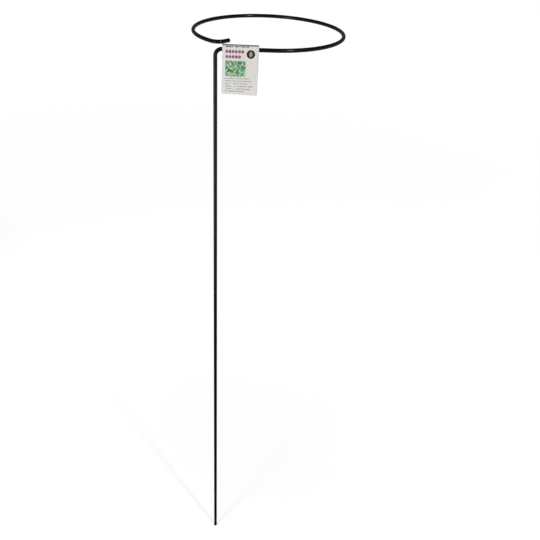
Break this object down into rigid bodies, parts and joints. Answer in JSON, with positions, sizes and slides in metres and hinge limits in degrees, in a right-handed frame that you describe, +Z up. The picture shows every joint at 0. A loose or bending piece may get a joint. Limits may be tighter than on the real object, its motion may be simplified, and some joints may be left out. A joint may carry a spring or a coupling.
{
  "type": "plant support ring stake",
  "caption": "Black coated wire bent into a tall straight leg and an open horizontal ring with its free end turned inward, to hold plant stems up, with a folded card tag hanging on the wire",
  "frame": {"origin": "on the leg's axis, where its straight wall ends just above the rounded lower tip", "axes": "+Z up the leg, +X along the straight run from the leg to the ring, +Y from the run to the ring's middle"},
  "size_m": [0.205, 0.2058, 0.9079],
  "materials": {
    "steel": "drawn wire, hidden under the coat",
    "coat": "black dipped plastic, glossy with faint waviness",
    "card": "printed card, matt",
    "adhesive": "dried adhesive film"
  },
  "bodies": {
    "stake": {"steel_core": "steel", "plastic_coat": "coat"},
    "tag": {"tag_card": "card", "tag_adhesive": "adhesive"}
  },
  "joints": [
    {"name": "tag_swing", "type": "hinge", "parent": "stake", "child": "tag", "pos_m": [0.0303, 0, 0.899], "axis": [-1, 0, 0], "range_deg": [-84, 263]}
  ]
}
